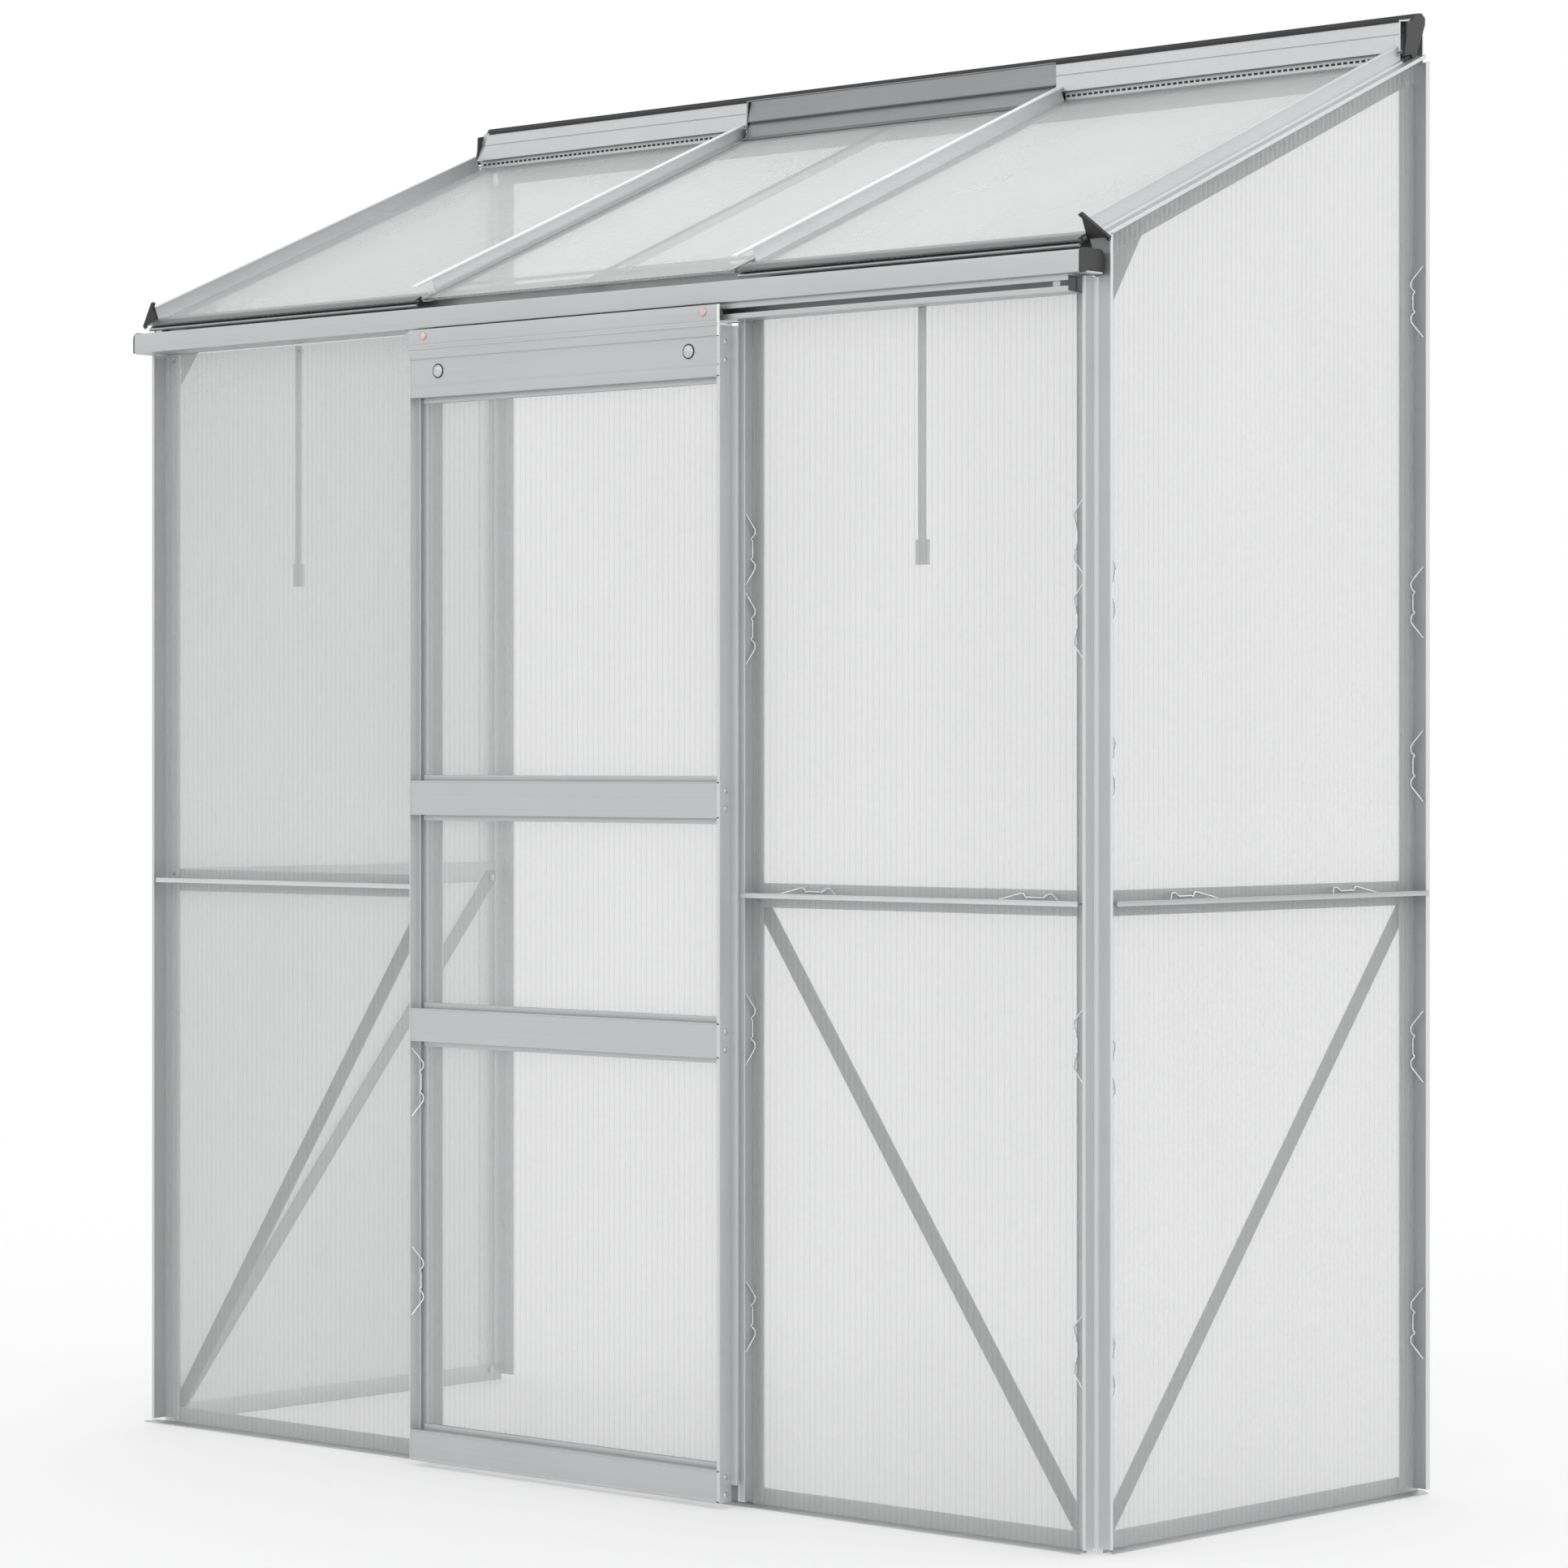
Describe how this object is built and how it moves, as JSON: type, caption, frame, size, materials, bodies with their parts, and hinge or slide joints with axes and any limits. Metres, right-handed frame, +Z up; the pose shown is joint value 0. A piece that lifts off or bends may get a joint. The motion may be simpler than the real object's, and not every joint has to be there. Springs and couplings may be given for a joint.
{
  "type": "lean-to greenhouse",
  "caption": "Lean-to greenhouse frame of aluminium bars glazed with twin-wall sheet, with a sliding front door and a hinged roof vent.",
  "frame": {"origin": "on the ground, at the middle of the plan's bounding box", "axes": "+X along the front towards the right gable, +Y from the front to the wall, +Z up"},
  "size_m": [1.9236, 0.786, 2.078],
  "materials": {
    "mill_aluminium": "extruded, mill finish",
    "flat_aluminium": "rolled flat bar and sheet",
    "twin_wall_sheet": "clear twin-wall polycarbonate with vertical flutes",
    "rubber_seal": "extruded rubber, satin",
    "grey_moulding": "moulded, dark grey",
    "black_moulding": "moulded, black",
    "white_nylon": "moulded, natural white",
    "zinc_steel": "zinc plated",
    "spring_wire": "drawn spring wire"
  },
  "bodies": {
    "root": {"base_rail_front": "mill_aluminium", "base_rail_left": "mill_aluminium", "base_rail_right": "mill_aluminium", "corner_post_left": "mill_aluminium", "corner_post_right": "mill_aluminium", "rear_post_left": "mill_aluminium", "rear_post_right": "mill_aluminium", "jamb_bar_left": "mill_aluminium", "jamb_bar_right": "mill_aluminium", "gable_rafter_left": "mill_aluminium", "gable_rafter_right": "mill_aluminium", "roof_bar_left": "mill_aluminium", "roof_bar_right": "mill_aluminium", "ridge_bar": "mill_aluminium", "gutter": "mill_aluminium", "door_track": "mill_aluminium", "mid_rail_front_left": "mill_aluminium", "mid_rail_front_right": "mill_aluminium", "mid_rail_gable_left": "mill_aluminium", "mid_rail_gable_right": "mill_aluminium", "panel_retainers": "mill_aluminium", "hanging_bar_left": "mill_aluminium", "hanging_bar_right": "mill_aluminium", "brace_front_left": "flat_aluminium", "brace_front_right": "flat_aluminium", "brace_gable_left": "flat_aluminium", "brace_gable_right": "flat_aluminium", "corner_gussets": "flat_aluminium", "panel_front_lower_left": "twin_wall_sheet", "panel_front_lower_right": "twin_wall_sheet", "panel_front_upper_left": "twin_wall_sheet", "panel_front_upper_right": "twin_wall_sheet", "panel_gable_lower_left": "twin_wall_sheet", "panel_gable_lower_right": "twin_wall_sheet", "panel_gable_upper_left": "twin_wall_sheet", "panel_gable_upper_right": "twin_wall_sheet", "roof_panel_left": "twin_wall_sheet", "roof_panel_right": "twin_wall_sheet", "ridge_seal": "rubber_seal", "ridge_end_caps": "grey_moulding", "gutter_end_caps": "grey_moulding", "rafter_end_caps": "black_moulding", "track_end_stops": "mill_aluminium", "frame_bolts": "zinc_steel", "glazing_clips": "spring_wire"},
    "door": {"door_stile_left": "mill_aluminium", "door_stile_right": "mill_aluminium", "door_head_rail": "mill_aluminium", "door_mid_rails": "mill_aluminium", "door_bottom_rail": "mill_aluminium", "door_hanger_plate": "mill_aluminium", "door_panels": "twin_wall_sheet", "door_guides": "white_nylon", "door_fasteners": "zinc_steel"},
    "roller_left": {"door_roller_left": "white_nylon"},
    "roller_right": {"door_roller_right": "white_nylon"},
    "vent": {"vent_hinge_rail": "mill_aluminium", "vent_frame": "mill_aluminium", "vent_panel": "twin_wall_sheet"},
    "stay": {"vent_stay": "flat_aluminium"}
  },
  "joints": [
    {"name": "door_slide", "type": "slide", "parent": "root", "child": "door", "axis": [1, 0, 0], "range_m": [0, 0.6]},
    {"name": "roller_left_turn", "type": "hinge", "parent": "door", "child": "roller_left", "pos_m": [-0.283, -0.363, 1.6473], "axis": [0, 1, 0], "range_deg": [-5, 3830]},
    {"name": "roller_right_turn", "type": "hinge", "parent": "door", "child": "roller_right", "pos_m": [0.278, -0.363, 1.6473], "axis": [0, 1, 0], "range_deg": [-5, 3830]},
    {"name": "vent_hinge", "type": "hinge", "parent": "root", "child": "vent", "pos_m": [0, 0.35, 2.05595], "axis": [-1, 0, 0], "range_deg": [0, 45]},
    {"name": "stay_pivot", "type": "hinge", "parent": "vent", "child": "stay", "pos_m": [0, -0.28702, 1.72232], "axis": [0, 0.9186, 0.3951], "range_deg": [0, 90]}
  ],
  "couplings": [
    {"joint": "roller_left_turn", "follows": "door_slide", "rad_per_m": 111.11},
    {"joint": "roller_right_turn", "follows": "door_slide", "rad_per_m": 111.11}
  ]
}
